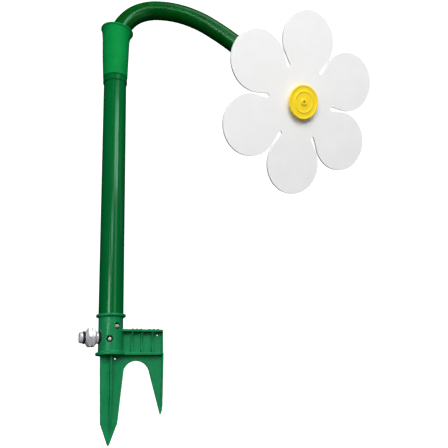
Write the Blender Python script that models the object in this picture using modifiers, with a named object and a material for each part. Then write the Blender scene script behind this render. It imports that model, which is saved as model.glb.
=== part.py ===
"""Whirling flower lawn sprinkler, built in metres with +Z up.

The origin is on the pole's axis at ground level, on the underside of the stake's lower plate.
The step plate and the flower are on the +X side and the water inlet is on the -X side.
"""
import math

import bmesh
import bpy
import numpy as np
from mathutils import Matrix, Vector
from mathutils.geometry import interpolate_bezier

MM = 0.001
GAP = 0.3 * MM                      # clearance between touching pieces

# Ground stake: collar, flanges, step and blades
COLLAR_RADIUS = 14.9 * MM
COLLAR_BORE = 10.6 * MM
COLLAR_FLOOR = 3.2 * MM             # thickness of the closed bottom of the collar
FLANGE_RADIUS = 17.9 * MM
LOWER_FLANGE = 3.0 * MM             # thickness of the lower flange and the lower plate
UPPER_FLANGE_Z = (45.9 * MM, 48.5 * MM)
SPIGOT_RADIUS = 13.05 * MM
SPIGOT_TOP = 66.0 * MM
WEB = 3.0 * MM                      # thickness of the upright web and the blades
STEP_RIGHT = 65.2 * MM
STEP_TOP = 30.6 * MM
STEP_PLATE = 2.8 * MM
STEP_HALF_DEPTH = 10.0 * MM
STEP_CORNER = 5.0 * MM
RIB_XS = (25.2 * MM, 37.3 * MM, 50.6 * MM, 63.6 * MM)
RIB_THICKNESS = 2.2 * MM
RIB_HOLLOW = 4.6 * MM               # depth of the hollow in a gusset's free edge
END_RIB_HALF_DEPTH = 4.8 * MM       # the outermost gusset is narrow and straight
TREAD_XS = (25.4 * MM, 30.6 * MM, 35.8 * MM, 46.4 * MM, 51.8 * MM, 57.2 * MM)
TREAD_RADIUS = 1.5 * MM
BLADE_HALF_TOP = 12.6 * MM
BLADE_HALF_FOOT = 10.1 * MM
BLADE_FOOT_Z = -78.0 * MM
BLADE_TIP_Z = -102.6 * MM
SPINE_HALF_DEPTH = 8.0 * MM         # the spike's cross rib reaches this far to each side of the web
SPINE_THICKNESS = 2.4 * MM
PEG_HOLE = (5.7 * MM, -4.0 * MM)    # small round hole in the web
PEG_HOLE_RADIUS = 1.05 * MM
LANYARD_HOLE = (58.2 * MM, 24.4 * MM)   # small three-sided hole in the step's web
LANYARD_RADIUS = 1.7 * MM
ARCH_CENTRE = (31.6 * MM, -23.0 * MM)
ARCH_RADIUS = 16.4 * MM
PRONG_TIP = (61.0 * MM, -69.5 * MM)
PRONG_RIB_HALF_DEPTH = 5.0 * MM
PRONG_RIB_LEAN = math.radians(1.1)  # the outer edge slopes inwards as it goes down

# Water inlet
INLET_Z = 20.8 * MM
INLET_HOLE = 8.3 * MM               # radius of the side hole in the collar
ELBOW_RADIUS = 10.3 * MM
WATERWAY = 5.0 * MM                 # radius of the bore of the inlet fittings
NIPPLE_TIP_X = -37.6 * MM
NIPPLE_RADIUS = 6.75 * MM
NUT_ENDS = (17.6 * MM, 30.2 * MM)   # distances of the nut's ends from the pole's axis
NUT_ACROSS_FLATS = 21.4 * MM
NUT_GROOVE = 23.1 * MM
ORING_MAJOR = 6.5 * MM
ORING_MINOR = 1.35 * MM
ORING_X = -32.2 * MM

# Screws in the front of the collar: (angle from the front towards +X, height)
SCREWS = {"collar_screw_upper": (22.0, 33.8 * MM), "collar_screw_lower": (-16.5, 18.3 * MM)}
SCREW_HOLE_RADIUS = 3.9 * MM        # the heads stand in round windows in the collar, on the elbow
SCREW_HEAD_RADIUS = 2.3 * MM
SCREW_HEAD_HEIGHT = 4.6 * MM
SCREW_SHANK_RADIUS = 1.5 * MM
SCREW_TIP = 6.4 * MM                # distance of the screw's tip from the collar's axis

# Pole, hose and guide cone
POLE_RADIUS = 15.1 * MM
POLE_BORE = 13.35 * MM
POLE_BOTTOM = UPPER_FLANGE_Z[1] + GAP
POLE_TOP = 371.5 * MM
TOP_COLLAR_RADIUS = 16.2 * MM
TOP_COLLAR_BOTTOM = 362.8 * MM
HOSE_RADIUS = 13.0 * MM             # 3/4 inch garden hose, 19 mm inside and 26 mm outside
HOSE_BORE = 9.5 * MM
HOSE_SIDES = 6                      # bevel resolution of the hose links
RISER_BOTTOM = SPIGOT_TOP + GAP
CONE_BOTTOM = POLE_TOP + GAP
CONE_BOTTOM_RADIUS = 16.5 * MM
CONE_MIDDLE = (17.8 * MM, 405.0 * MM)
CONE_NECK = (18.5 * MM, 430.0 * MM)
CONE_LIP = (22.2 * MM, 446.5 * MM)
CONE_WALL = 1.5 * MM
CONE_TILT = math.radians(8.5)        # the soft mouth is pushed down on the side where the hose leans
CONE_TILT_START = 418.0 * MM
CONE_PUSH = 1.7 * MM                # and the hose pushes the lip outwards by this much

# Neck: a hose that rises from the cone, arches over and comes down behind the flower.
# The arch lies in a vertical plane turned NECK_PLANE from +X; (distance from the axis, height).
NECK_PLANE = math.radians(-12)
NECK_ARCH = [(0, 372.1), (0, 400), (0.3, 421), (3.2, 441), (11, 458), (25, 473.5), (44.5, 482.8),
             (70, 485), (96, 481), (122, 471), (148, 455), (165, 442.5)]
NECK_DROP = (100 * MM, 45 * MM)     # Bezier handles at the arch's end and at the flower's back
NECK_ROOT_LENGTH = 75.3 * MM        # from the pole's top to the hinge at the cone's mouth
NECK_LINKS = 4
LINK_GAP = 5.4 * MM                 # room between two links for the bend of the hose
ROUTE_STEP = 7.0 * MM

# Flower head: its centre on the front of the petals, and the way it faces
FLOWER_CENTRE = Vector((222.8, -111.4, 316.7)) * MM
FLOWER_AZIMUTH = math.radians(6)   # from -Y towards +X
FLOWER_DROOP = math.radians(-21)
FLOWER_SPIN = math.radians(91)
PETALS = 6
PETAL_CENTRE = 81.0 * MM            # distance of a petal's round end from the flower's centre
PETAL_RADIUS = 39.6 * MM
PETAL_THICKNESS = 3.2 * MM
SLOT_BOTTOM = 48.6 * MM
SLOT_RADIUS = 2.6 * MM
PETAL_HOLE = 10.4 * MM
CAP_RADIUS = 22.4 * MM
CAP_HEIGHT = 7.4 * MM
CAP_RIM = 2.2 * MM                  # thickness of the cap's disc
CAP_HUB = 16.2 * MM                 # radius of the hub that carries the disc
STEM_FLANGE = (19.0 * MM, 3.0 * MM)
HOSE_END = -8.6 * MM                # end of the neck hose behind the petals' front face
HOSE_STRAIGHT = -20.0 * MM          # the hose is straight from here to its end
STEM_TAIL = -24.5 * MM
FERRULE = (15.2 * MM, -20.5 * MM, -10.0 * MM)   # radius and both ends

STEPS = 40                          # facets round a turned piece


def clear_scene():
    for obj in list(bpy.data.objects):
        bpy.data.objects.remove(obj, do_unlink=True)


def new_collection(name):
    collection = bpy.data.collections.new(name)
    bpy.context.scene.collection.children.link(collection)
    return collection


def make_material(name, colour, roughness, metallic=0.0):
    material = bpy.data.materials.new(name)
    material.use_nodes = True
    shader = material.node_tree.nodes["Principled BSDF"]
    shader.inputs["Base Color"].default_value = (*colour, 1.0)
    shader.inputs["Roughness"].default_value = roughness
    shader.inputs["Metallic"].default_value = metallic
    return material


def add_object(name, mesh, collection, material=None):
    obj = bpy.data.objects.new(name, mesh)
    collection.objects.link(obj)
    if material:
        mesh.materials.append(material)
    return obj


def add_empty(name, location, parent=None):
    empty = bpy.data.objects.new(name, None)
    empty.location = location
    PARTS.objects.link(empty)
    if parent:
        attach(empty, parent)
    return empty


def attach(obj, parent):
    """Parent obj without moving it."""
    bpy.context.view_layer.update()
    obj.parent = parent
    obj.matrix_parent_inverse = parent.matrix_world.inverted()


def set_origin(obj, origin):
    """Move an object's origin to a world point and leave its shape where it is."""
    obj.data.transform(Matrix.Translation(-Vector(origin)))
    obj.location = Vector(origin)


def smooth(mesh, angle=35):
    mesh.shade_smooth()
    mesh.set_sharp_from_angle(angle=math.radians(angle))


def evaluated_mesh(obj):
    """The mesh that obj's modifiers or curve give, as a mesh of its own."""
    bpy.context.view_layer.update()
    graph = bpy.context.evaluated_depsgraph_get()
    return bpy.data.meshes.new_from_object(obj.evaluated_get(graph))


def turned(name, profile, collection, material=None, steps=STEPS):
    """A closed (radius, height) profile, clockwise from its top outer corner, turned about Z."""
    mesh = bpy.data.meshes.new(name)
    vertices = [(radius, 0, height) for radius, height in profile]
    edges = [(i, (i + 1) % len(profile)) for i in range(len(profile))]
    mesh.from_pydata(vertices, edges, [])
    source = add_object(name + "_profile", mesh, CUTTERS)
    screw = source.modifiers.new("turn", "SCREW")
    screw.axis = "Z"
    screw.steps = screw.render_steps = steps
    screw.use_merge_vertices = True
    screw.merge_threshold = 0.00005
    solid = evaluated_mesh(source)
    bpy.data.objects.remove(source)
    smooth(solid)
    return add_object(name, solid, collection, material)


def cylinder_between(name, start, end, radius, collection, material=None, steps=24):
    """A solid round bar from start to end."""
    start = Vector(start)
    axis = Vector(end) - start
    turn = axis.to_track_quat("Z", "Y").to_matrix().to_4x4()
    place = Matrix.Translation(start + axis / 2) @ turn
    mesh = bpy.data.meshes.new(name)
    shape = bmesh.new()
    bmesh.ops.create_cone(shape, cap_ends=True, segments=steps, radius1=radius, radius2=radius,
                          depth=axis.length, matrix=place)
    shape.to_mesh(mesh)
    shape.free()
    smooth(mesh)
    return add_object(name, mesh, collection, material)


def box(name, low, high, collection, material=None):
    low = Vector(low)
    high = Vector(high)
    size = high - low
    place = Matrix.Translation((low + high) / 2) @ Matrix.Diagonal((*size, 1))
    mesh = bpy.data.meshes.new(name)
    shape = bmesh.new()
    bmesh.ops.create_cube(shape, size=1, matrix=place)
    shape.to_mesh(mesh)
    shape.free()
    return add_object(name, mesh, collection, material)


def flat_outline(name, points, thickness, collection, material=None, holes=()):
    """A flat plate in the XY plane, centred on z = 0, from its outline and its holes."""
    curve = bpy.data.curves.new(name, "CURVE")
    curve.dimensions = "2D"
    curve.fill_mode = "BOTH"
    curve.extrude = thickness / 2
    for loop in (points, *holes):
        spline = curve.splines.new("POLY")
        spline.points.add(len(loop) - 1)
        for point, (x, y) in zip(spline.points, loop):
            point.co = (x, y, 0, 1)
        spline.use_cyclic_u = True
    source = add_object(name + "_outline", curve, CUTTERS)
    mesh = evaluated_mesh(source)
    bpy.data.objects.remove(source)
    shape = bmesh.new()
    shape.from_mesh(mesh)
    bmesh.ops.remove_doubles(shape, verts=shape.verts, dist=0.00001)
    shape.to_mesh(mesh)
    shape.free()
    return add_object(name, mesh, collection, material)


def stand_up(obj):
    """Turn a plate drawn in XY into the XZ plane."""
    obj.data.transform(Matrix.Rotation(math.radians(90), 4, "X"))
    return obj


def arc(centre, radius, start, end, count):
    """Points on an arc, with both ends; angles in degrees."""
    angles = np.radians(np.linspace(start, end, count))
    return [(centre[0] + radius * math.cos(a), centre[1] + radius * math.sin(a)) for a in angles]


def boolean(obj, tool, operation):
    """Cut or join obj with tool, and hide the tool."""
    modifier = obj.modifiers.new(operation.lower(), "BOOLEAN")
    modifier.operation = operation
    modifier.object = tool
    modifier.solver = "EXACT"
    for collection in list(tool.users_collection):
        collection.objects.unlink(tool)
    CUTTERS.objects.link(tool)
    tool.hide_render = True
    tool.display_type = "WIRE"


# ---------------------------------------------------------------- ground stake

def stake_blades():
    """The flat web: the step's web, the long spike and the short prong, in one outline."""
    foot = BLADE_HALF_FOOT
    above_tip = BLADE_TIP_Z + 1.2 * MM
    spike = [(-BLADE_HALF_TOP, 2 * MM), (-foot - 0.6 * MM, BLADE_FOOT_Z), (-2.2 * MM, above_tip),
             (-0.9 * MM, BLADE_TIP_Z), (0.3 * MM, above_tip), (foot - 0.6 * MM, BLADE_FOOT_Z),
             (12.4 * MM, -51.6 * MM)]
    arch = arc(ARCH_CENTRE, ARCH_RADIUS, 158, 20, 13)
    prong = [PRONG_TIP, (62.2 * MM, -69.0 * MM), (64.2 * MM, -60.0 * MM)]
    outer = [(STEP_RIGHT, 18 * MM), (STEP_RIGHT, STEP_TOP - 1 * MM), (12.5 * MM, STEP_TOP - 1 * MM),
             (12.5 * MM, 2 * MM)]
    outline = spike + arch + prong + outer
    return stand_up(flat_outline("stake_web", outline[::-1], WEB, CUTTERS))


def step_plate(name, left, right, bottom, top):
    """A level plate with two round corners at its outer end."""
    corner = STEP_CORNER
    half = STEP_HALF_DEPTH
    lower = arc((right - corner, -half + corner), corner, -90, 0, 5)
    upper = arc((right - corner, half - corner), corner, 0, 90, 5)
    outline = [(left, -half), *lower, *upper, (left, half)]
    plate = flat_outline(name, outline, top - bottom, CUTTERS)
    plate.data.transform(Matrix.Translation((0, 0, (top + bottom) / 2)))
    return plate


def cross_plate(name, outline, thickness, x):
    """A plate that stands across the web at x, from its outline in (y, z)."""
    plate = stand_up(flat_outline(name, outline, thickness, CUTTERS))
    plate.data.transform(Matrix.Translation((x, 0, 0)) @ Matrix.Rotation(math.radians(90), 4, "Z"))
    return plate


def prong_rib():
    """The flange along the prong's outer edge, tapering to nothing at its tip."""
    half = PRONG_RIB_HALF_DEPTH
    outline = [(half, 2 * MM), (half * 0.7, -45 * MM), (WEB / 3, -66 * MM), (-WEB / 3, -66 * MM),
               (-half * 0.7, -45 * MM), (-half, 2 * MM)]
    rib = cross_plate("prong_rib", outline, RIB_THICKNESS, 0)
    rib.data.transform(Matrix.Rotation(PRONG_RIB_LEAN, 4, "Y"))
    rib.data.transform(Matrix.Translation((STEP_RIGHT - 1.25 * MM, 0, 0)))
    return rib


def spike_spine():
    """The cross rib that makes the spike's section a plus sign."""
    half = SPINE_HALF_DEPTH
    shoulder = BLADE_FOOT_Z + 12 * MM
    point = BLADE_TIP_Z + 9 * MM
    outline = [(half, 1 * MM), (half * 0.8, shoulder), (WEB / 3, point), (-WEB / 3, point),
               (-half * 0.8, shoulder), (-half, 1 * MM)]
    return cross_plate("spike_spine", outline, SPINE_THICKNESS, 0)


def step_treads():
    """Round ridges across the step that keep a boot from slipping."""
    reach = STEP_HALF_DEPTH - 1.6 * MM
    height = STEP_TOP - 0.3 * MM
    return [cylinder_between("tread", (x, -reach, height), (x, reach, height), TREAD_RADIUS,
                             CUTTERS, steps=12) for x in TREAD_XS]


def step_ribs():
    """Upright gussets between the two plates, hollowed at their free edges."""
    half_height = (STEP_TOP - STEP_PLATE - LOWER_FLANGE) / 2
    middle = LOWER_FLANGE + half_height
    radius = (half_height ** 2 + RIB_HOLLOW ** 2) / (2 * RIB_HOLLOW)
    sweep = math.degrees(math.asin(half_height / radius))
    depth = STEP_HALF_DEPTH - 1.0 * MM
    centre = depth - RIB_HOLLOW + radius
    back = arc((centre, middle), radius, 180 + sweep, 180 - sweep, 9)
    front = arc((-centre, middle), radius, sweep, -sweep, 9)
    outline = [(depth, 1 * MM), *back, (depth, STEP_TOP - 1 * MM),
               (-depth, STEP_TOP - 1 * MM), *front, (-depth, 1 * MM)]
    ribs = [cross_plate("rib", outline, RIB_THICKNESS, x) for x in RIB_XS[:-1]]
    narrow = END_RIB_HALF_DEPTH
    end = box("end_rib", (RIB_XS[-1] - RIB_THICKNESS / 2, -narrow, 1 * MM),
              (RIB_XS[-1] + RIB_THICKNESS / 2, narrow, STEP_TOP - 1 * MM), CUTTERS)
    return [*ribs, end]


def front_direction(angle):
    """Horizontal unit vector at an angle in degrees from the front (-Y) towards +X."""
    return Vector((math.sin(math.radians(angle)), -math.cos(math.radians(angle)), 0))


def make_stake():
    profile = [(SPIGOT_RADIUS, SPIGOT_TOP), (SPIGOT_RADIUS, UPPER_FLANGE_Z[1]),
               (FLANGE_RADIUS, UPPER_FLANGE_Z[1]), (FLANGE_RADIUS, UPPER_FLANGE_Z[0]),
               (COLLAR_RADIUS, UPPER_FLANGE_Z[0] - 1.2 * MM), (COLLAR_RADIUS, LOWER_FLANGE + 1.2 * MM),
               (FLANGE_RADIUS, LOWER_FLANGE), (FLANGE_RADIUS, 0), (0, 0), (0, COLLAR_FLOOR),
               (COLLAR_BORE, COLLAR_FLOOR), (COLLAR_BORE, SPIGOT_TOP)]
    stake = turned("stake_body", profile, PARTS, STAKE_GREEN)
    boolean(stake, stake_blades(), "UNION")
    lower = step_plate("step_lower", 12 * MM, STEP_RIGHT - 2.0 * MM, 0, LOWER_FLANGE)
    boolean(stake, lower, "UNION")
    upper = step_plate("step_upper", 12 * MM, STEP_RIGHT - 1.1 * MM, STEP_TOP - STEP_PLATE, STEP_TOP)
    boolean(stake, upper, "UNION")
    boolean(stake, prong_rib(), "UNION")
    boolean(stake, spike_spine(), "UNION")
    for piece in [*step_ribs(), *step_treads()]:
        boolean(stake, piece, "UNION")
    peg_x, peg_z = PEG_HOLE
    peg_hole = cylinder_between("peg_hole", (peg_x, -WEB, peg_z), (peg_x, WEB, peg_z), PEG_HOLE_RADIUS,
                                CUTTERS, steps=16)
    boolean(stake, peg_hole, "DIFFERENCE")
    hole_x, hole_z = LANYARD_HOLE
    hole = cylinder_between("lanyard_hole", (hole_x, -WEB, hole_z), (hole_x, WEB, hole_z), LANYARD_RADIUS,
                            CUTTERS, steps=3)
    boolean(stake, hole, "DIFFERENCE")
    inlet = cylinder_between("inlet_hole", (-COLLAR_RADIUS * 1.3, 0, INLET_Z), (0, 0, INLET_Z),
                             INLET_HOLE, CUTTERS)
    boolean(stake, inlet, "DIFFERENCE")
    for angle, height in SCREWS.values():
        out = front_direction(angle)
        rise = Vector((0, 0, height))
        window = cylinder_between("screw_window", out * COLLAR_BORE * 0.8 + rise,
                                  out * COLLAR_RADIUS * 1.2 + rise, SCREW_HOLE_RADIUS, CUTTERS)
        boolean(stake, window, "DIFFERENCE")
    smooth(stake.data)
    return stake


# ---------------------------------------------------------------- water inlet

def make_elbow():
    """The plug inside the collar: a side inlet with a thread, and a barbed tail that goes up."""
    bottom = COLLAR_FLOOR + GAP
    neck = UPPER_FLANGE_Z[1] + 2 * MM
    barb = HOSE_BORE - GAP
    tail = SPIGOT_TOP + 4 * MM
    profile = [(barb - 1.6 * MM, tail + 20 * MM), (barb, tail + 14 * MM), (barb - 1.2 * MM, tail + 14 * MM),
               (barb, tail + 7 * MM), (barb - 1.2 * MM, tail + 7 * MM), (barb, tail), (barb, neck + 2 * MM),
               (ELBOW_RADIUS, neck), (ELBOW_RADIUS, bottom), (0, bottom), (0, INLET_Z - 4 * MM),
               (WATERWAY, INLET_Z - 4 * MM), (WATERWAY, tail + 20 * MM)]
    elbow = turned("inlet_elbow", profile, PARTS, FITTING_BLACK, steps=32)
    boss = cylinder_between("inlet_boss", (-13.6 * MM, 0, INLET_Z), (-7 * MM, 0, INLET_Z), 7.9 * MM, CUTTERS)
    boolean(elbow, boss, "UNION")
    bore = cylinder_between("inlet_bore", (-20 * MM, 0, INLET_Z), (0, 0, INLET_Z), 6.0 * MM, CUTTERS)
    boolean(elbow, bore, "DIFFERENCE")
    for angle, height in SCREWS.values():
        out = front_direction(angle)
        rise = Vector((0, 0, height))
        socket = cylinder_between("screw_socket", out * (SCREW_TIP - GAP) + rise, out * 13 * MM + rise,
                                  SCREW_SHANK_RADIUS + GAP, CUTTERS, steps=16)
        boolean(elbow, socket, "DIFFERENCE")
    return elbow


def lay_along_inlet(obj):
    """Turn a piece made about Z so that its +Z end points out of the inlet, along -X."""
    obj.data.transform(Matrix.Translation((0, 0, INLET_Z)) @ Matrix.Rotation(math.radians(-90), 4, "Y"))
    return obj


def make_nut():
    """The nipple's grooved hexagon: a six-sided bar inside a turned envelope."""
    near, far = NUT_ENDS
    corner = NUT_ACROSS_FLATS / 2 / math.cos(math.radians(30))
    mesh = bpy.data.meshes.new("nut")
    shape = bmesh.new()
    bmesh.ops.create_cone(shape, cap_ends=True, segments=6, radius1=corner, radius2=corner,
                          depth=far - near, matrix=Matrix.Translation((0, 0, (near + far) / 2)))
    shape.to_mesh(mesh)
    shape.free()
    nut = add_object("nut", mesh, CUTTERS)
    groove = NUT_GROOVE
    envelope = [(7.0 * MM, far + 0.3 * MM), (corner, far - 3.4 * MM), (corner, groove + 0.9 * MM),
                (10.0 * MM, groove), (corner, groove - 0.9 * MM), (corner, near + 3.6 * MM),
                (7.6 * MM, near - 0.3 * MM), (4.4 * MM, near - 0.3 * MM), (4.4 * MM, far + 0.3 * MM)]
    boolean(nut, turned("nut_envelope", envelope, CUTTERS, steps=32), "INTERSECT")
    return nut


def make_nipple():
    """The metal quick-connect nipple: thread, grooved nut and the tip with its ring groove."""
    tip = -NIPPLE_TIP_X
    groove = -ORING_X
    body = NIPPLE_RADIUS
    waist = 7.2 * MM
    thread = 5.7 * MM
    shoulder = 15.6 * MM
    profile = [(body - 1.0 * MM, tip), (body, tip - 1.2 * MM), (body, groove + 1.7 * MM),
               (body - 2.0 * MM, groove + 1.7 * MM), (body - 2.0 * MM, groove - 1.7 * MM),
               (body, groove - 1.7 * MM), (waist, NUT_ENDS[1] - 2 * MM), (waist, shoulder),
               (thread, shoulder), (thread, 6.0 * MM), (4.0 * MM, 6.0 * MM), (4.0 * MM, tip)]
    nipple = turned("hose_nipple", profile, PARTS, CHROME, steps=32)
    boolean(nipple, make_nut(), "UNION")
    nipple_mesh = evaluated_mesh(nipple)
    nipple.modifiers.clear()
    nipple.data = nipple_mesh
    smooth(nipple.data)
    return lay_along_inlet(nipple)


def make_ring(name, major, minor, height, material, sides=10):
    """A rubber ring of round section about Z."""
    circle = [(major + minor * math.cos(a), height - minor * math.sin(a))
              for a in np.radians(np.arange(sides) * 360 / sides)]
    return turned(name, circle, PARTS, material, steps=28)


def make_inlet_seals():
    oring = make_ring("nipple_oring", ORING_MAJOR, ORING_MINOR, -ORING_X, RUBBER_BLACK)
    lay_along_inlet(oring)
    washer = turned("inlet_seal", [(7.6 * MM, 15.3 * MM), (7.6 * MM, 13.9 * MM), (6.1 * MM, 13.9 * MM),
                                   (6.1 * MM, 15.3 * MM)], PARTS, RUBBER_BLACK, steps=28)
    lay_along_inlet(washer)


def make_screw(name, angle, height):
    """A cross-head screw that holds the elbow in the collar; its axis points out of the collar."""
    seat = ELBOW_RADIUS + GAP
    head = SCREW_HEAD_RADIUS
    top = seat + SCREW_HEAD_HEIGHT
    profile = [(head * 0.6, top), (head, seat + SCREW_HEAD_HEIGHT / 2), (head, seat),
               (SCREW_SHANK_RADIUS, seat), (SCREW_SHANK_RADIUS, SCREW_TIP + 1.2 * MM), (0, SCREW_TIP),
               (0, top)]
    screw = turned(name, profile, PARTS, SCREW_STEEL, steps=24)
    for turn in (0, 90):
        slot = box("cross_slot", (-0.3 * MM, -head * 0.6, top - 0.8 * MM), (0.3 * MM, head * 0.6, top + MM),
                   CUTTERS)
        slot.data.transform(Matrix.Rotation(math.radians(turn + 45), 4, "Z"))
        boolean(screw, slot, "DIFFERENCE")
    screw_mesh = evaluated_mesh(screw)
    screw.modifiers.clear()
    screw.data = screw_mesh
    turn = front_direction(angle).to_track_quat("Z", "Y")
    screw.rotation_euler = turn.to_euler()
    screw.location = (0, 0, height)


# ---------------------------------------------------------------- pole and cone

def make_pole():
    tube = [(POLE_RADIUS, POLE_TOP), (POLE_RADIUS, POLE_BOTTOM), (POLE_BORE, POLE_BOTTOM),
            (POLE_BORE, POLE_TOP)]
    turned("pole_tube", tube, PARTS, POLE_GREEN)
    inner = POLE_RADIUS + GAP
    collar = [(TOP_COLLAR_RADIUS - 0.5 * MM, POLE_TOP), (TOP_COLLAR_RADIUS, POLE_TOP - 0.6 * MM),
              (TOP_COLLAR_RADIUS, TOP_COLLAR_BOTTOM + 0.8 * MM), (inner + 0.2 * MM, TOP_COLLAR_BOTTOM),
              (inner, TOP_COLLAR_BOTTOM), (inner, POLE_TOP)]
    turned("top_collar", collar, PARTS, POLE_GREEN)
    riser = [(HOSE_RADIUS, POLE_TOP - GAP), (HOSE_RADIUS, RISER_BOTTOM), (HOSE_BORE, RISER_BOTTOM),
             (HOSE_BORE, POLE_TOP - GAP)]
    turned("riser_hose", riser, PARTS, HOSE_GREEN, steps=32)


def neck_point(reach, height):
    """World point of the neck's plane at a distance from the pole's axis, both in millimetres."""
    return Vector((reach * math.cos(NECK_PLANE), reach * math.sin(NECK_PLANE), height)) * MM


def make_cone(root):
    """The soft bell mouth; its lip tilts with the hose that leans on it."""
    middle_radius, middle_z = CONE_MIDDLE
    neck_radius, neck_z = CONE_NECK
    lip_radius, lip_z = CONE_LIP
    wall = CONE_WALL
    profile = [(lip_radius, lip_z), (lip_radius, lip_z - 1.8 * MM), (lip_radius - 1.6 * MM, lip_z - 3.2 * MM),
               (neck_radius + 0.7 * MM, neck_z + 6 * MM), (neck_radius, neck_z),
               (middle_radius, middle_z), (CONE_BOTTOM_RADIUS, CONE_BOTTOM),
               (CONE_BOTTOM_RADIUS - wall, CONE_BOTTOM), (middle_radius - wall, middle_z),
               (neck_radius - wall, neck_z), (neck_radius + 0.7 * MM - wall, neck_z + 6 * MM),
               (lip_radius - 2.6 * MM, lip_z - 1.6 * MM), (lip_radius - 1.6 * MM, lip_z)]
    cone = turned("cone_guide", profile, PARTS, CONE_GREEN)
    outward = neck_point(1, 0) / MM
    for vertex in cone.data.vertices:
        share = (vertex.co.z - CONE_TILT_START) / (lip_z - CONE_TILT_START)
        share = min(max(share, 0), 1) ** 2
        vertex.co.z -= math.tan(CONE_TILT) * vertex.co.dot(outward) * share
        vertex.co += outward * CONE_PUSH * share
    set_origin(cone, (0, 0, CONE_BOTTOM))
    attach(cone, root)


# ---------------------------------------------------------------- neck hose

def flower_normal():
    level = math.cos(FLOWER_DROOP)
    return Vector((math.sin(FLOWER_AZIMUTH) * level, -math.cos(FLOWER_AZIMUTH) * level,
                   math.sin(FLOWER_DROOP)))


def neck_route():
    """Evenly spaced points of the neck's centre line, from the pole's top to the flower's back."""
    normal = flower_normal()
    knots = [neck_point(reach, height) for reach, height in NECK_ARCH]
    leave = (knots[-1] - knots[-2]).normalized() * NECK_DROP[0]
    arrive = FLOWER_CENTRE + normal * HOSE_STRAIGHT
    enter = arrive - normal * NECK_DROP[1]
    knots += interpolate_bezier(knots[-1], knots[-1] + leave, enter, arrive, 9)[1:]
    knots.append(FLOWER_CENTRE + normal * HOSE_END)
    dense = []
    padded = [2 * knots[0] - knots[1], *knots, 2 * knots[-1] - knots[-2]]
    for before, start, end, after in zip(padded, padded[1:], padded[2:], padded[3:]):
        for share in np.linspace(0, 1, 20, endpoint=False):
            dense.append(catmull_rom(before, start, end, after, share))
    dense.append(knots[-1])
    return dense


def catmull_rom(before, start, end, after, share):
    """A point between start and end on the centripetal Catmull-Rom curve through four points."""
    times = [0.0]
    for first, second in ((before, start), (start, end), (end, after)):
        times.append(times[-1] + math.sqrt((second - first).length))
    time = times[1] + (times[2] - times[1]) * share

    def between(first, second, low, high):
        return first * ((high - time) / (high - low)) + second * ((time - low) / (high - low))

    first = between(before, start, times[0], times[1])
    second = between(start, end, times[1], times[2])
    third = between(end, after, times[2], times[3])
    early = between(first, second, times[0], times[2])
    late = between(second, third, times[1], times[3])
    return between(early, late, times[1], times[2])


def cut_route(dense, start, end):
    """Points about ROUTE_STEP apart on the part of a route between two lengths along it."""
    points = np.array([tuple(point) for point in dense])
    lengths = np.concatenate([[0], np.cumsum(np.linalg.norm(np.diff(points, axis=0), axis=1))])
    count = max(2, round((end - start) / ROUTE_STEP) + 1)
    wanted = np.linspace(start, end, count)
    return [Vector([np.interp(length, lengths, points[:, axis]) for axis in range(3)])
            for length in wanted]


def route_length(dense):
    return sum((second - first).length for first, second in zip(dense, dense[1:]))


def make_link(name, points, hinge, parent):
    """One link of hose: a round tube with an open bore along the points."""
    curve = bpy.data.curves.new(name, "CURVE")
    curve.dimensions = "3D"
    curve.bevel_depth = HOSE_RADIUS
    curve.bevel_resolution = HOSE_SIDES
    curve.use_fill_caps = False
    spline = curve.splines.new("POLY")
    spline.points.add(len(points) - 1)
    for slot, point in zip(spline.points, points):
        slot.co = (*point, 1)
    source = add_object(name + "_route", curve, CUTTERS)
    mesh = evaluated_mesh(source)
    bpy.data.objects.remove(source)
    smooth(mesh, 60)
    link = add_object(name, mesh, PARTS, HOSE_GREEN)
    set_origin(link, hinge)
    wall = link.modifiers.new("hose wall", "SOLIDIFY")
    wall.thickness = HOSE_RADIUS - HOSE_BORE
    wall.offset = -1
    wall.use_even_offset = True
    attach(link, parent)


def make_neck(root):
    """The hose in the cone and the links beyond it, each hung from an empty on its bend."""
    dense = neck_route()
    total = route_length(dense)
    bend = NECK_ROOT_LENGTH
    spacing = (total - bend) / NECK_LINKS
    points = cut_route(dense, GAP, bend - LINK_GAP / 2)
    make_link("neck_hose_root", points, (0, 0, CONE_BOTTOM), root)
    parent = root
    for number in range(NECK_LINKS):
        hinge = cut_route(dense, bend, bend + 1 * MM)[0]
        parent = add_empty(f"flex_axis_{number + 1}", hinge, parent)
        end = bend + spacing
        reach = end - LINK_GAP / 2 if number < NECK_LINKS - 1 else total
        make_link(f"neck_hose_{number + 1}", cut_route(dense, bend + LINK_GAP / 2, reach), hinge, parent)
        bend = end
    return parent


# ---------------------------------------------------------------- flower head

def petal_outline():
    """Six round petals round the centre, parted by slots with round ends."""
    points = []
    slot_angle = 180 / PETALS
    for number in range(PETALS):
        turn = Matrix.Rotation(math.radians(number * 360 / PETALS), 2)
        petal = arc((PETAL_CENTRE, 0), PETAL_RADIUS, -90 - slot_angle, 90 + slot_angle, 19)
        slot_middle = (SLOT_BOTTOM + SLOT_RADIUS, 0)
        slot = arc(slot_middle, SLOT_RADIUS, 270, 90, 7)
        slot_turn = Matrix.Rotation(math.radians(slot_angle), 2)
        slot = [slot_turn @ Vector(point) for point in slot]
        points += [turn @ Vector(point) for point in petal] + [turn @ point for point in slot]
    return points


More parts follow.
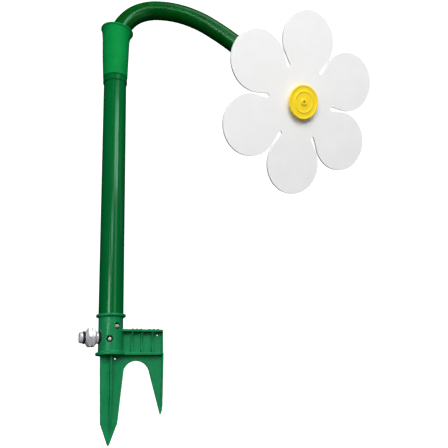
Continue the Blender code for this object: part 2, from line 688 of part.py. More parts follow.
def make_head(tip):
    """Everything that is clamped to the end of the hose: stem, petals, cap and their seals."""
    normal = flower_normal()
    head = add_empty("flower_head", FLOWER_CENTRE)
    side = Vector((0, 0, 1)).cross(normal).normalized()
    head.rotation_euler = Matrix((side, normal.cross(side), normal)).transposed().to_euler()
    attach(head, tip)

    hole = arc((0, 0), PETAL_HOLE, 0, 345, 24)
    petals = flat_outline("flower_petals", petal_outline(), PETAL_THICKNESS, PARTS, PETAL_WHITE, [hole])
    petals.data.transform(Matrix.Rotation(FLOWER_SPIN, 4, "Z"))
    petals.data.transform(Matrix.Translation((0, 0, -PETAL_THICKNESS / 2)))
    petals.parent = head

    back = -PETAL_THICKNESS - GAP
    washer = 1.2 * MM
    ring = [(17.5 * MM, back), (17.5 * MM, back - washer), (PETAL_HOLE, back - washer), (PETAL_HOLE, back)]
    turned("petal_washer", ring, PARTS, RUBBER_BLACK).parent = head

    flange_radius, flange = STEM_FLANGE
    seat = back - washer - GAP
    thread = PETAL_HOLE - 0.4 * MM
    barb = HOSE_BORE - 2 * GAP
    front = 1.4 * MM
    bore = WATERWAY
    stem = [(thread, front), (thread, seat), (flange_radius, seat), (flange_radius, seat - flange),
            (barb, seat - flange), (barb, STEM_TAIL + 8 * MM), (barb - 1.2 * MM, STEM_TAIL + 8 * MM),
            (barb, STEM_TAIL + 4 * MM), (barb - 1.2 * MM, STEM_TAIL + 4 * MM), (barb - 1.6 * MM, STEM_TAIL),
            (bore, STEM_TAIL), (bore, front)]
    turned("nozzle_stem", stem, PARTS, FITTING_BLACK, steps=32).parent = head

    gasket = [(8.6 * MM, front + GAP + 1.0 * MM), (8.6 * MM, front + GAP), (bore, front + GAP),
              (bore, front + GAP + 1.0 * MM)]
    turned("cap_gasket", gasket, PARTS, RUBBER_BLACK, steps=28).parent = head
    make_cap(thread, front + 1.0 * MM + 2 * GAP).parent = head

    outer, low, high = FERRULE
    inner = HOSE_RADIUS + GAP
    band = [(outer - 0.4 * MM, high), (outer, high - 1 * MM), (outer, low + 1 * MM), (outer - 0.4 * MM, low),
            (inner, low), (inner, high)]
    turned("hose_ferrule", band, PARTS, FERRULE_METAL).parent = head


def make_cap(thread, ceiling):
    """The round nozzle cap, screwed on the stem from the front, with the jet in its middle."""
    socket = thread + GAP
    rim = CAP_RADIUS
    hub = CAP_HUB
    top = CAP_HEIGHT
    under = top - CAP_RIM
    jet = 1.6 * MM
    profile = [(4.2 * MM, top + 0.7 * MM), (4.9 * MM, top - 0.6 * MM), (12.6 * MM, top - 0.6 * MM),
               (13.1 * MM, top), (14.4 * MM, top), (14.9 * MM, top - 0.6 * MM), (19.6 * MM, top - 0.6 * MM),
               (20.3 * MM, top), (rim - 1.0 * MM, top), (rim, top - 0.8 * MM), (rim, under + 0.4 * MM),
               (rim - 0.6 * MM, under), (hub + 0.8 * MM, under), (hub, under - 0.8 * MM), (hub, GAP),
               (socket, GAP), (socket, ceiling), (jet, ceiling), (jet, top + 0.7 * MM)]
    return turned("nozzle_cap", profile, PARTS, CAP_YELLOW, steps=48)


clear_scene()
PARTS = new_collection("whirling_flower_sprinkler")
CUTTERS = new_collection("cutters")
STAKE_GREEN = make_material("stake_green", (0.014, 0.19, 0.075), 0.38)
POLE_GREEN = make_material("pole_green", (0.0, 0.16, 0.028), 0.2)
CONE_GREEN = make_material("cone_green", (0.005, 0.26, 0.05), 0.45)
HOSE_GREEN = make_material("hose_green", (0.0, 0.07, 0.012), 0.35)
PETAL_WHITE = make_material("petal_white", (0.84, 0.84, 0.84), 0.5)
CAP_YELLOW = make_material("cap_yellow", (0.9, 0.55, 0.02), 0.4)
FITTING_BLACK = make_material("fitting_black", (0.02, 0.022, 0.02), 0.45)
RUBBER_BLACK = make_material("rubber_black", (0.012, 0.012, 0.012), 0.7)
CHROME = make_material("chrome", (0.78, 0.78, 0.8), 0.12, 1.0)
FERRULE_METAL = make_material("ferrule_metal", (0.7, 0.7, 0.7), 0.3, 1.0)
SCREW_STEEL = make_material("screw_steel", (0.62, 0.6, 0.56), 0.3, 1.0)

make_stake()
make_elbow()
make_nipple()
make_inlet_seals()
for screw_name, (screw_angle, screw_height) in SCREWS.items():
    make_screw(screw_name, screw_angle, screw_height)
make_pole()
whirl_axis = add_empty("whirl_axis", (0, 0, CONE_BOTTOM))
make_cone(whirl_axis)
make_head(make_neck(whirl_axis))
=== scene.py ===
"""Looks of a whirling flower lawn sprinkler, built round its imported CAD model. Metres, +Z up."""

import math

import bmesh
import bpy
import numpy as np
from mathutils import Matrix, Vector
from mathutils.geometry import interpolate_bezier


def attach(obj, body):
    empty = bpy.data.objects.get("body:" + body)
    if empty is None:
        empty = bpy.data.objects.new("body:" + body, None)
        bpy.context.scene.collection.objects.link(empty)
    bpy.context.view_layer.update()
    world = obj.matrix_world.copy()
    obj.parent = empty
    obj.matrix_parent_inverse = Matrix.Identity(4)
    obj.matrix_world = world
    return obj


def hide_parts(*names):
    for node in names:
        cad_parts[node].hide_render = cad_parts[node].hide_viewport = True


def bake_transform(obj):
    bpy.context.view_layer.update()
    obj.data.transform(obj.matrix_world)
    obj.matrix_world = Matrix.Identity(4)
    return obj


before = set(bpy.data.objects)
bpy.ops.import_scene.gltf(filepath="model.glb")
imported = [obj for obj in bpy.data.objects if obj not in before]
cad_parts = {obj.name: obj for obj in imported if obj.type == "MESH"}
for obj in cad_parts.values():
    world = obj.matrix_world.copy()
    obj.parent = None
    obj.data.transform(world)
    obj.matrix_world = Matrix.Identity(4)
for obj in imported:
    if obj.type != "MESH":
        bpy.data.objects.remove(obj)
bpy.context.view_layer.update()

MM = 0.001

# Camera: where it stands, and how it looks: yaw from +Y towards +X, pitch up, roll
CAMERA_PLACE = Vector((-160.1, -753.2, -66.9)) * MM
CAMERA_YAW = math.radians(22.594)
CAMERA_PITCH = math.radians(16.619)
CAMERA_ROLL = math.radians(-2.039)
CAMERA_LENS = 50.0
CAMERA_SENSOR = 36.0

FLOOR_Z = -103.2 * MM               # the spike's tip just touches the floor
STAGE_RADIUS = 5.0
STAGE_GLOW = 1.05                   # the floor and backdrop are a touch brighter than white
AIR_LIGHT = 0.12                    # even light from all round
LIGHT_TARGET = Vector((80.0, 0.0, 200.0)) * MM

# Neck hose: the route of the CAD links, in the plane turned NECK_PLANE from +X
NECK_PLANE = math.radians(-12)
NECK_ARCH = [(0, 372.1), (0, 400), (0.3, 421), (3.2, 441), (11, 458), (25, 473.5), (44.5, 482.8),
             (70, 485), (96, 481), (122, 471), (148, 455), (165, 442.5)]
NECK_DROP = (100 * MM, 45 * MM)
NECK_ROOT_LENGTH = 75.3 * MM
NECK_BODIES = ("neck_root", "neck_low", "neck_crown", "neck_drop", "flower_head")
HOSE_RADIUS = 13.0 * MM
HOSE_STRAIGHT = -20.0 * MM
HOSE_END = -8.6 * MM
HOSE_START = 0.3 * MM               # clearance over the pole's top
HOSE_STEP = 2.5 * MM                # spacing of the rings of the hose's mesh
HOSE_SIDES = 48
ROUTE_STEPS = 20                    # points on the route between two knots

# Flower head
FLOWER_CENTRE = Vector((222.8, -111.4, 316.7)) * MM
FLOWER_AZIMUTH = math.radians(6)
FLOWER_DROOP = math.radians(-21)
FLOWER_SPIN = math.radians(91)
PETALS = 6
PETAL_CENTRE = 81.0 * MM
PETAL_RADIUS = 39.6 * MM
PETAL_THICKNESS = 3.2 * MM
PETAL_EDGE = 0.45 * MM
SLOT_BOTTOM = 48.6 * MM
SLOT_RADIUS = 2.6 * MM
PETAL_HOLE = 10.4 * MM
CAP_RADIUS = 22.4 * MM
CAP_TOP = 7.4 * MM
CAP_RIM = 2.2 * MM
CAP_HUB = 16.2 * MM
CAP_SUNK = 0.6 * MM                 # depth of the fields between the cap's rings
CAP_JET = 1.6 * MM
CAP_BORE = (10.8 * MM, 3.0 * MM)    # radius and depth of the hollow in the cap's back

# Cone
CONE_BOTTOM = (16.5 * MM, 371.8 * MM)
CONE_MIDDLE = (17.8 * MM, 405.0 * MM)
CONE_NECK = (18.5 * MM, 430.0 * MM)
CONE_LIP = (22.2 * MM, 446.5 * MM)
CONE_WALL = 1.5 * MM
CONE_TILT = math.radians(8.5)
CONE_TILT_START = 418.0 * MM
CONE_PUSH = 1.7 * MM


# ---------------------------------------------------------------- materials

NOISE_SPAN = (0.3, 0.7)             # the part of a noise texture's range that is put to use


class Look:
    """A Principled material with textures laid out in the object's own millimetres."""

    def __init__(self, name, roughness=0.5, metallic=0.0, specular=0.5, tinge=(1, 1, 1)):
        self.material = bpy.data.materials.new(name)
        self.material.use_nodes = True
        self.tree = self.material.node_tree
        self.shader = self.tree.nodes["Principled BSDF"]
        self.shader.inputs["Roughness"].default_value = roughness
        self.shader.inputs["Metallic"].default_value = metallic
        self.shader.inputs["Specular IOR Level"].default_value = specular
        self.shader.inputs["Specular Tint"].default_value = (*tinge, 1)
        self.place = self.add("ShaderNodeTexCoord").outputs["Object"]
        self.height = None

    def add(self, kind):
        return self.tree.nodes.new(kind)

    def join(self, output, socket):
        self.tree.links.new(output, socket)

    def noise(self, grain, detail, stretch=(1, 1, 1)):
        """Noise with features about grain millimetres wide, stretched along an axis where wanted."""
        place = self.add("ShaderNodeMapping")
        place.inputs["Scale"].default_value = [1 / (grain * MM * s) for s in stretch]
        texture = self.add("ShaderNodeTexNoise")
        texture.inputs["Scale"].default_value = 1.0
        texture.inputs["Detail"].default_value = detail
        self.join(self.place, place.inputs["Vector"])
        self.join(place.outputs["Vector"], texture.inputs["Vector"])
        return texture.outputs["Fac"]

    def colour(self, value, dark, light):
        """Base colour that goes from dark to light with the noise value."""
        node = self.add("ShaderNodeValToRGB")
        for element, position, colour in zip(node.color_ramp.elements, NOISE_SPAN, (dark, light)):
            element.position = position
            element.color = (*colour, 1)
        self.join(value, node.inputs["Fac"])
        self.join(node.outputs["Color"], self.shader.inputs["Base Color"])

    def rough(self, value, low, high):
        """Roughness that goes from low to high with the noise value."""
        node = self.add("ShaderNodeMapRange")
        node.inputs["From Min"].default_value, node.inputs["From Max"].default_value = NOISE_SPAN
        node.inputs["To Min"].default_value = low
        node.inputs["To Max"].default_value = high
        self.join(value, node.inputs["Value"])
        self.join(node.outputs["Result"], self.shader.inputs["Roughness"])

    def bump(self, value, height, strength=1.0):
        """Relief height millimetres deep; more than one relief can be laid over another."""
        node = self.add("ShaderNodeBump")
        node.inputs["Strength"].default_value = strength
        node.inputs["Distance"].default_value = height * MM
        self.join(value, node.inputs["Height"])
        if self.height:
            self.join(self.height, node.inputs["Normal"])
        self.height = node.outputs["Normal"]
        self.join(self.height, self.shader.inputs["Normal"])


def tint(colour, share):
    """The colour made lighter or darker."""
    return tuple(channel * share for channel in colour)


def moulded(name, colour, gloss, grain=0.6, relief=0.02, sheen=0.5, variation=0.12, tinge=(1, 1, 1)):
    """Injection-moulded plastic: cloudy colour, a fine grain, and hairline scuffs that break the gloss."""
    look = Look(name, roughness=gloss, specular=sheen, tinge=tinge)
    look.colour(look.noise(22, 5), tint(colour, 1 - variation), tint(colour, 1 + variation))
    look.rough(look.noise(3.5, 6, (1, 1, 6)), gloss - 0.06, gloss + 0.1)
    look.bump(look.noise(grain, 3), relief, 0.5)
    look.bump(look.noise(9, 2), 0.12, 0.5)
    return look.material


def extruded(name, colour, gloss, tinge):
    """Extruded tube: glossy, with long faint draw lines along its length and slight waves."""
    look = Look(name, roughness=gloss, specular=0.5, tinge=tinge)
    look.colour(look.noise(30, 4, (1, 1, 5)), tint(colour, 0.88), tint(colour, 1.1))
    look.rough(look.noise(1.4, 5, (1, 1, 60)), gloss - 0.05, gloss + 0.09)
    look.bump(look.noise(1.1, 2, (1, 1, 80)), 0.012, 0.6)
    look.bump(look.noise(18, 2, (1, 1, 2.4)), 0.22, 0.6)
    return look.material


def soft_plastic(name, colour, gloss, tinge):
    """Soft PVC: even colour with a skin-like fine relief."""
    look = Look(name, roughness=gloss, specular=0.1, tinge=tinge)
    look.colour(look.noise(16, 5), tint(colour, 0.9), tint(colour, 1.08))
    look.rough(look.noise(2.4, 6), gloss - 0.05, gloss + 0.08)
    look.bump(look.noise(0.5, 4), 0.03, 0.5)
    look.bump(look.noise(11, 2), 0.15, 0.5)
    return look.material


def hose_skin(name, colour, gloss, tinge):
    """Hose: glossy skin over a reinforcing braid that shows as a faint relief, with rubbed patches."""
    look = Look(name, roughness=gloss, specular=0.7, tinge=tinge)
    look.colour(look.noise(14, 6), tint(colour, 0.8), tint(colour, 1.2))
    look.rough(look.noise(5, 6), gloss - 0.05, gloss + 0.12)
    look.bump(look.noise(1.6, 2), 0.05, 0.5)
    look.bump(look.noise(0.35, 3), 0.01, 0.5)
    return look.material


def foam_board(name):
    """White foam board: matte, very fine closed cells and a slight mottling."""
    look = Look(name, roughness=0.62, specular=0.25)
    look.colour(look.noise(28, 5), (0.89, 0.89, 0.886), (0.93, 0.93, 0.928))
    look.rough(look.noise(1.2, 5), 0.56, 0.7)
    look.bump(look.noise(0.45, 4), 0.02, 0.5)
    return look.material


def bright_metal(name, dark, light, gloss, grain=(1, 1, 1), metallic=1.0):
    """Plated or plain metal with fine scratches and smudges."""
    look = Look(name, roughness=gloss, metallic=metallic)
    look.colour(look.noise(4, 6), dark, light)
    look.rough(look.noise(1.2, 6, grain), max(gloss - 0.05, 0.04), gloss + 0.14)
    look.bump(look.noise(0.4, 3, grain), 0.006, 0.6)
    return look.material


def rubber(name):
    """Black rubber with a dull bloom."""
    look = Look(name, roughness=0.6, specular=0.4)
    look.colour(look.noise(3, 6), (0.008, 0.008, 0.009), (0.022, 0.022, 0.024))
    look.rough(look.noise(1.0, 5), 0.5, 0.78)
    look.bump(look.noise(0.3, 3), 0.015, 0.6)
    return look.material


# Green plastics colour their own highlights a little
LEAF_TINGE = (0.55, 1.0, 0.75)
HOSE_TINGE = (0.38, 1.0, 0.6)

LOOKS = {
    "stake_green": moulded("stake_green_look", (0.006, 0.2, 0.066), 0.28, sheen=0.35, tinge=LEAF_TINGE),
    "pole_green": extruded("pole_green_look", (0.001, 0.112, 0.024), 0.13, LEAF_TINGE),
    "cone_green": soft_plastic("cone_green_look", (0.0015, 0.225, 0.045), 0.46, LEAF_TINGE),
    "hose_green": hose_skin("hose_green_look", (0.0004, 0.066, 0.006), 0.19, HOSE_TINGE),
    "petal_white": foam_board("petal_white_look"),
    "cap_yellow": moulded("cap_yellow_look", (0.97, 0.71, 0.024), 0.42, sheen=0.3, variation=0.05),
    "fitting_black": moulded("fitting_black_look", (0.016, 0.018, 0.016), 0.42),
    "rubber_black": rubber("rubber_black_look"),
    "chrome": bright_metal("chrome_look", (0.84, 0.84, 0.9), (0.95, 0.95, 1.0), 0.16, metallic=0.45),
    "ferrule_metal": bright_metal("ferrule_metal_look", (0.6, 0.6, 0.6), (0.76, 0.76, 0.76), 0.28,
                                  grain=(1, 1, 8)),
    "screw_steel": bright_metal("screw_steel_look", (0.62, 0.58, 0.5), (0.8, 0.76, 0.68), 0.3,
                                metallic=0.35),
}
CAD_LOOKS = {
    "stake_body": "stake_green",
    "inlet_elbow": "fitting_black",
    "hose_nipple": "chrome",
    "nipple_oring": "rubber_black",
    "inlet_seal": "rubber_black",
    "collar_screw_upper": "screw_steel",
    "collar_screw_lower": "screw_steel",
    "pole_tube": "pole_green",
    "top_collar": "pole_green",
    "riser_hose": "hose_green",
    "cone_guide": "cone_green",
    "nozzle_stem": "fitting_black",
    "hose_ferrule": "ferrule_metal",
    "petal_washer": "rubber_black",
    "flower_petals": "petal_white",
    "cap_gasket": "rubber_black",
    "nozzle_cap": "cap_yellow",
}


def dress_cad():
    """Gives each CAD node its look."""
    for node, slot in CAD_LOOKS.items():
        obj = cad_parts[node]
        if not obj.material_slots:
            obj.data.materials.append(LOOKS[slot])
        for place in obj.material_slots:
            place.material = LOOKS[slot]


# ---------------------------------------------------------------- mesh helpers

TURN_STEPS = 96


def add_piece(name, mesh, slot):
    """A new piece with the look of a material slot."""
    obj = bpy.data.objects.new(name, mesh)
    bpy.context.scene.collection.objects.link(obj)
    mesh.materials.clear()
    mesh.materials.append(LOOKS[slot])
    return obj


def shade(mesh, angle=32):
    """Smooth shading, apart from edges sharper than the angle in degrees."""
    mesh.shade_smooth()
    mesh.set_sharp_from_angle(angle=math.radians(angle))


def evaluated_mesh(obj):
    """The object's mesh with its modifiers applied."""
    bpy.context.view_layer.update()
    graph = bpy.context.evaluated_depsgraph_get()
    return bpy.data.meshes.new_from_object(obj.evaluated_get(graph))


def rounded(profile, radius, points):
    """A closed (radius, height) profile with its corners rounded off."""
    result = []
    count = len(profile)
    for i, corner in enumerate(profile):
        corner = Vector(corner)
        before = Vector(profile[i - 1]) - corner
        after = Vector(profile[(i + 1) % count]) - corner
        cut = min(radius, before.length * 0.45, after.length * 0.45)
        start = corner + before.normalized() * cut
        end = corner + after.normalized() * cut
        for share in np.linspace(0, 1, points):
            result.append(start * (1 - share) ** 2 + corner * 2 * share * (1 - share) + end * share ** 2)
    return result


def bridge(shape, ring, other):
    """A band of faces between two rings of the same number of points."""
    count = len(ring)
    for k in range(count):
        shape.faces.new((ring[k], ring[(k + 1) % count], other[(k + 1) % count], other[k]))


def finished(shape, name):
    """The bmesh as a mesh whose faces all point outwards."""
    bmesh.ops.recalc_face_normals(shape, faces=shape.faces)
    mesh = bpy.data.meshes.new(name)
    shape.to_mesh(mesh)
    shape.free()
    return mesh


def turned(name, profile, slot, place=Matrix.Identity(4)):
    """A closed (radius, height) profile turned about Z, then put in place."""
    shape = bmesh.new()
    angles = [2 * math.pi * k / TURN_STEPS for k in range(TURN_STEPS)]
    rings = [[shape.verts.new((radius * math.cos(a), radius * math.sin(a), height)) for a in angles]
             for radius, height in profile]
    for ring, other in zip(rings, rings[1:] + rings[:1]):
        bridge(shape, ring, other)
    mesh = finished(shape, name)
    mesh.transform(place)
    shade(mesh)
    return add_piece(name, mesh, slot)


# ---------------------------------------------------------------- neck hose

def neck_point(reach, height):
    """A point in the neck's plane, from millimetres out of the pole's axis and up."""
    return Vector((reach * math.cos(NECK_PLANE), reach * math.sin(NECK_PLANE), height)) * MM


def flower_normal():
    """Unit vector out of the flower's face."""
    level = math.cos(FLOWER_DROOP)
    return Vector((math.sin(FLOWER_AZIMUTH) * level, -math.cos(FLOWER_AZIMUTH) * level,
                   math.sin(FLOWER_DROOP)))


def catmull_rom(before, start, end, after, share):
    """A point between start and end on the centripetal Catmull-Rom curve through four points."""
    times = [0.0]
    for first, second in ((before, start), (start, end), (end, after)):
        times.append(times[-1] + math.sqrt((second - first).length))
    time = times[1] + (times[2] - times[1]) * share

    def between(first, second, low, high):
        return first * ((high - time) / (high - low)) + second * ((time - low) / (high - low))

    first = between(before, start, times[0], times[1])
    second = between(start, end, times[1], times[2])
    third = between(end, after, times[2], times[3])
    early = between(first, second, times[0], times[2])
    late = between(second, third, times[1], times[3])
    return between(early, late, times[1], times[2])


def neck_route():
    """Closely spaced points on the hose's centre line, from the pole's top to the flower's back."""
    normal = flower_normal()
    knots = [neck_point(reach, height) for reach, height in NECK_ARCH]
    leave = (knots[-1] - knots[-2]).normalized() * NECK_DROP[0]
    arrive = FLOWER_CENTRE + normal * HOSE_STRAIGHT
    knots += interpolate_bezier(knots[-1], knots[-1] + leave, arrive - normal * NECK_DROP[1], arrive, 9)[1:]
    knots.append(FLOWER_CENTRE + normal * HOSE_END)
    dense = []
    padded = [2 * knots[0] - knots[1], *knots, 2 * knots[-1] - knots[-2]]
    for before, start, end, after in zip(padded, padded[1:], padded[2:], padded[3:]):
        for share in np.linspace(0, 1, ROUTE_STEPS, endpoint=False):
            dense.append(catmull_rom(before, start, end, after, share))
    dense.append(knots[-1])
    return np.array([tuple(point) for point in dense])


class Route:
    """A line through space, asked for points and directions by length along it."""

    def __init__(self, points):
        self.points = points
        steps = np.linalg.norm(np.diff(points, axis=0), axis=1)
        self.lengths = np.concatenate([[0], np.cumsum(steps)])
        self.total = self.lengths[-1]

    def at(self, length):
        return Vector([np.interp(length, self.lengths, self.points[:, axis]) for axis in range(3)])

    def along(self, length):
        reach = 2.0 * MM
        return (self.at(min(length + reach, self.total)) - self.at(max(length - reach, 0))).normalized()


def hose_rings(route):
    """Rings of the whole hose with a frame that never twists: (length, centre, side, up)."""
    count = round(route.total / HOSE_STEP)
    lengths = np.linspace(HOSE_START, route.total, count + 1)
    side = Vector((0, 1, 0))
    rings = []
    for length in lengths:
        direction = route.along(length)
        side = (side - direction * side.dot(direction)).normalized()
        rings.append((length, route.at(length), side.copy(), direction.cross(side)))
    return rings


def make_hose(name, rings):
    """A closed length of hose through the rings, with flat ends."""
    shape = bmesh.new()
    loops = []
    for _, centre, side, up in rings:
        loop = []
        for k in range(HOSE_SIDES):
            angle = 2 * math.pi * k / HOSE_SIDES
            out = side * math.cos(angle) + up * math.sin(angle)
            loop.append(shape.verts.new(centre + out * HOSE_RADIUS))
        loops.append(loop)
    for loop, other in zip(loops, loops[1:]):
        bridge(shape, loop, other)
    shape.faces.new(loops[0][::-1])
    shape.faces.new(loops[-1])
    mesh = finished(shape, name)
    shade(mesh)
    return add_piece(name, mesh, "hose_green")


def make_neck():
    """Four lengths of one hose, each spanning one hinge and meeting the next halfway along a link."""
    route = Route(neck_route())
    rings = hose_rings(route)
    spacing = (route.total - NECK_ROOT_LENGTH) / (len(NECK_BODIES) - 1)
    hinges = [NECK_ROOT_LENGTH + spacing * number for number in range(len(NECK_BODIES) - 1)]
    ends = [0.0] + [hinge + spacing / 2 for hinge in hinges[:-1]] + [route.total + MM]
    lengths = [ring[0] for ring in rings]
    cuts = [min(range(len(rings)), key=lambda i: abs(lengths[i] - end)) for end in ends]
    for number, hinge in enumerate(hinges):
        piece = make_hose(f"neck_hose_bend_{number + 1}", rings[cuts[number]:cuts[number + 1] + 1])
        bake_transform(piece)
        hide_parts(f"neck_hose_{number + 1}")
        if number == 0:
            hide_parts("neck_hose_root")


# ---------------------------------------------------------------- cone

def make_cone():
    """The soft bell mouth with a rolled lip, pushed down where the hose leans on it."""
    low_radius, low = CONE_BOTTOM
    middle_radius, middle = CONE_MIDDLE
    neck_radius, neck = CONE_NECK
    lip_radius, lip = CONE_LIP
    wall = CONE_WALL
    profile = [(lip_radius, lip), (lip_radius, lip - 1.9 * MM), (lip_radius - 1.5 * MM, lip - 3.0 * MM),
               (neck_radius + 0.8 * MM, neck + 6 * MM), (neck_radius, neck), (middle_radius, middle),
               (low_radius, low), (low_radius - wall, low), (middle_radius - wall, middle),
               (neck_radius - wall, neck), (neck_radius + 0.8 * MM - wall, neck + 6 * MM),
               (lip_radius - 2.6 * MM, lip - 1.6 * MM), (lip_radius - 1.6 * MM, lip)]
    cone = turned("cone_bell", rounded(profile, 0.9 * MM, 5), "cone_green")
    outward = neck_point(1, 0) / MM
    for vertex in cone.data.vertices:
        share = min(max((vertex.co.z - CONE_TILT_START) / (lip - CONE_TILT_START), 0), 1) ** 2
        vertex.co.z -= math.tan(CONE_TILT) * vertex.co.dot(outward) * share
        vertex.co += outward * CONE_PUSH * share
    shade(cone.data)
    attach(cone, "neck_root")
    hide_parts("cone_guide")


# ---------------------------------------------------------------- stake

STAKE_VOXEL = 0.5 * MM              # fine enough for the ribs, the treads and the flanges
STAKE_SOFTENING = 3


def make_stake():
    """The moulded stake with every edge and inner corner softened."""
    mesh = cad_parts["stake_body"].data.copy()
    shape = bmesh.new()
    shape.from_mesh(mesh)
    bmesh.ops.remove_doubles(shape, verts=shape.verts, dist=0.002 * MM)
    shape.to_mesh(mesh)
    shape.free()
    source = bpy.data.objects.new("stake_source", mesh)
    bpy.context.scene.collection.objects.link(source)
    remesh = source.modifiers.new("skin", "REMESH")
    remesh.mode = "VOXEL"
    remesh.voxel_size = STAKE_VOXEL
    soften = source.modifiers.new("soften", "SMOOTH")
    soften.factor = 0.5
    soften.iterations = STAKE_SOFTENING
    final = evaluated_mesh(source)
    bpy.data.objects.remove(source)
    final.shade_smooth()
    stake = add_piece("stake_moulding", final, "stake_green")
    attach(stake, "base")
    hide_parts("stake_body")


# ---------------------------------------------------------------- flower head

FLAT = 0.999                        # a face this square to the flower's axis is part of a flat side


def head_place():
    """The flower's own axes: origin on the petals' front, +Z out of the face."""
    normal = flower_normal()
    side = Vector((0, 0, 1)).cross(normal).normalized()
    turn = Matrix((side, normal.cross(side), normal)).transposed().to_4x4()
    return Matrix.Translation(FLOWER_CENTRE) @ turn


def arc(centre, radius, start, end, count):
    """Points on an arc, with both ends; angles in degrees."""
    angles = np.radians(np.linspace(start, end, count))
    return [(centre[0] + radius * math.cos(a), centre[1] + radius * math.sin(a)) for a in angles]


def petal_outline():
    """Six round petals round the centre, parted by slots with round ends."""
    points = []
    slot_angle = 180 / PETALS
    for number in range(PETALS):
        turn = Matrix.Rotation(math.radians(number * 360 / PETALS), 2)
        petal = arc((PETAL_CENTRE, 0), PETAL_RADIUS, -90 - slot_angle, 90 + slot_angle, 49)
        slot = arc((SLOT_BOTTOM + SLOT_RADIUS, 0), SLOT_RADIUS, 270, 90, 15)
        slot_turn = Matrix.Rotation(math.radians(slot_angle), 2)
        slot = [slot_turn @ Vector(point) for point in slot]
        points += [turn @ Vector(point) for point in petal] + [turn @ point for point in slot]
    return points


def make_petals(place):
    """The die-cut petals with slightly rounded edges."""
    curve = bpy.data.curves.new("petals", "CURVE")
    curve.dimensions = "2D"
    curve.fill_mode = "BOTH"
    curve.extrude = PETAL_THICKNESS / 2 - PETAL_EDGE
    curve.bevel_depth = PETAL_EDGE
    curve.bevel_resolution = 3
    curve.offset = -PETAL_EDGE
    for loop in (petal_outline(), arc((0, 0), PETAL_HOLE, 0, 355, 72)):
        spline = curve.splines.new("POLY")
        spline.points.add(len(loop) - 1)
        for point, (x, y) in zip(spline.points, loop):
            point.co = (x, y, 0, 1)
        spline.use_cyclic_u = True
    source = bpy.data.objects.new("petals_source", curve)
    bpy.context.scene.collection.objects.link(source)
    mesh = evaluated_mesh(source)
    bpy.data.objects.remove(source)
    shape = bmesh.new()
    shape.from_mesh(mesh)
    bmesh.ops.remove_doubles(shape, verts=shape.verts, dist=0.01 * MM)
    shape.to_mesh(mesh)
    shape.free()
    sink = Matrix.Translation((0, 0, -PETAL_THICKNESS / 2))
    mesh.transform(place @ sink @ Matrix.Rotation(FLOWER_SPIN, 4, "Z"))
    shade(mesh, 28)
    normal = flower_normal()
    for face in mesh.polygons:
        if abs(face.normal.dot(normal)) > FLAT:
            face.use_smooth = False
    petals = add_piece("petal_board", mesh, "petal_white")
    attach(petals, "flower_head")
    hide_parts("flower_petals")


def make_cap(place):
    """The nozzle cap: a thin disc on a hub, two raised rings, and a nub with the jet hole."""
    top = CAP_TOP
    floor = top - CAP_SUNK
    under = top - CAP_RIM
    nub = top + 0.7 * MM
    back = 0.3 * MM
    bore, depth = CAP_BORE
    profile = [(CAP_JET, nub), (4.1 * MM, nub), (4.9 * MM, floor), (12.5 * MM, floor), (13.1 * MM, top),
               (14.4 * MM, top), (15.0 * MM, floor), (19.5 * MM, floor), (20.3 * MM, top),
               (CAP_RADIUS - 0.6 * MM, top), (CAP_RADIUS, top - 0.6 * MM), (CAP_RADIUS, under),
               (CAP_HUB, under), (CAP_HUB, back), (bore, back), (bore, depth), (CAP_JET, depth)]
    cap = turned("cap_disc", rounded(profile, 0.5 * MM, 4), "cap_yellow", place=place)
    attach(cap, "flower_head")
    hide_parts("nozzle_cap")


# ---------------------------------------------------------------- stage, light and camera

def make_stage():
    """A white floor under a white dome, seen by the camera and left out of reflections."""
    shape = bmesh.new()
    bmesh.ops.create_circle(shape, cap_ends=True, segments=96, radius=STAGE_RADIUS,
                            matrix=Matrix.Translation((0, 0, FLOOR_Z)))
    floor_mesh = bpy.data.meshes.new("studio_floor")
    shape.to_mesh(floor_mesh)
    shape.free()
    shape = bmesh.new()
    bmesh.ops.create_icosphere(shape, subdivisions=4, radius=STAGE_RADIUS * 1.02)
    dome_mesh = bpy.data.meshes.new("studio_backdrop")
    shape.to_mesh(dome_mesh)
    shape.free()
    for mesh in (floor_mesh, dome_mesh):
        look = Look(mesh.name + "_look", roughness=0.9, specular=0.0)
        look.colour(look.noise(400, 3), (0.9, 0.9, 0.9), (0.93, 0.93, 0.93))
        look.shader.inputs["Emission Color"].default_value = (1, 1, 1, 1)
        look.shader.inputs["Emission Strength"].default_value = STAGE_GLOW
        mesh.materials.append(look.material)
        obj = bpy.data.objects.new(mesh.name, mesh)
        bpy.context.scene.collection.objects.link(obj)
        obj.visible_glossy = False
        obj.visible_diffuse = False
        obj.visible_shadow = False


def front_direction(azimuth, elevation):
    """Unit vector at an azimuth from -Y towards +X and an elevation, both in degrees."""
    turn = math.radians(azimuth)
    rise = math.radians(elevation)
    return Vector((math.sin(turn) * math.cos(rise), -math.cos(turn) * math.cos(rise), math.sin(rise)))


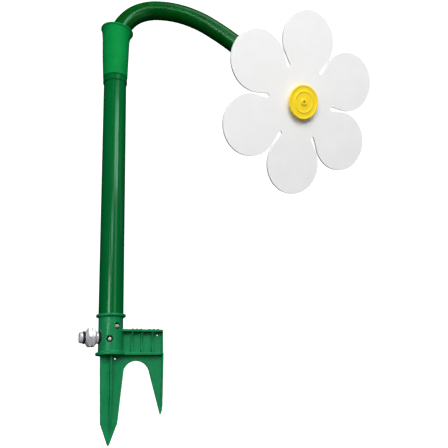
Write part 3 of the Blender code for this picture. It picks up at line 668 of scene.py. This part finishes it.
def add_softbox(name, azimuth, elevation, distance, size, radiance, mirrored=True):
    """A rectangular area light of an even brightness, turned to the middle of the object."""
    light = bpy.data.lights.new(name, "AREA")
    light.shape = "RECTANGLE"
    light.size, light.size_y = size
    light.energy = radiance * math.pi * size[0] * size[1]
    obj = bpy.data.objects.new(name, light)
    obj.location = LIGHT_TARGET + front_direction(azimuth, elevation) * distance
    obj.rotation_euler = (LIGHT_TARGET - obj.location).to_track_quat("-Z", "Y").to_euler()
    obj.visible_glossy = mirrored
    bpy.context.scene.collection.objects.link(obj)


def make_lights():
    """Narrow boxes give the streaks on round gloss; the key and the fills only light the colours."""
    add_softbox("upper_strip", 8, 26, 1.7, (0.66, 0.34), 5.0)
    add_softbox("middle_strip", -13, 14, 1.7, (0.3, 0.16), 7.0)
    add_softbox("lower_strip", -30, 5, 1.7, (0.4, 0.2), 8.0)
    add_softbox("collar_strip", -43, 1, 1.7, (0.3, 0.14), 22.0)
    add_softbox("right_card", 23, 8, 1.8, (0.5, 1.8), 1.3)
    add_softbox("upper_card", 26, 58, 1.8, (0.9, 0.9), 1.3)
    add_softbox("key", -17, 24, 2.6, (1.7, 1.4), 6.6, mirrored=False)
    add_softbox("top_fill", -20, 74, 1.6, (1.2, 0.9), 2.0, mirrored=False)
    add_softbox("back_fill", 165, 18, 2.6, (1.4, 1.0), 4.0, mirrored=False)
    world = bpy.data.worlds.new("studio_air")
    bpy.context.scene.world = world
    world.use_nodes = True
    air = world.node_tree.nodes["Background"]
    air.inputs["Color"].default_value = (1, 1, 1, 1)
    air.inputs["Strength"].default_value = AIR_LIGHT
    world.cycles_visibility.glossy = False


def make_camera():
    """A camera that looks up at the flower from near the height of the stake."""
    data = bpy.data.cameras.new("studio_camera")
    data.lens = CAMERA_LENS
    data.sensor_width = CAMERA_SENSOR
    data.clip_start = 0.01
    data.clip_end = 50
    camera = bpy.data.objects.new("studio_camera", data)
    turn = Matrix.Rotation(-CAMERA_YAW, 4, "Z") @ Matrix.Rotation(math.pi / 2 + CAMERA_PITCH, 4, "X")
    camera.matrix_world = Matrix.Translation(CAMERA_PLACE) @ turn @ Matrix.Rotation(CAMERA_ROLL, 4, "Z")
    bpy.context.scene.collection.objects.link(camera)
    bpy.context.scene.camera = camera
    bpy.context.scene.view_settings.view_transform = "Standard"


dress_cad()
make_stake()
make_cone()
make_neck()
HEAD = head_place()
make_petals(HEAD)
make_cap(HEAD)
make_stage()
make_lights()
make_camera()
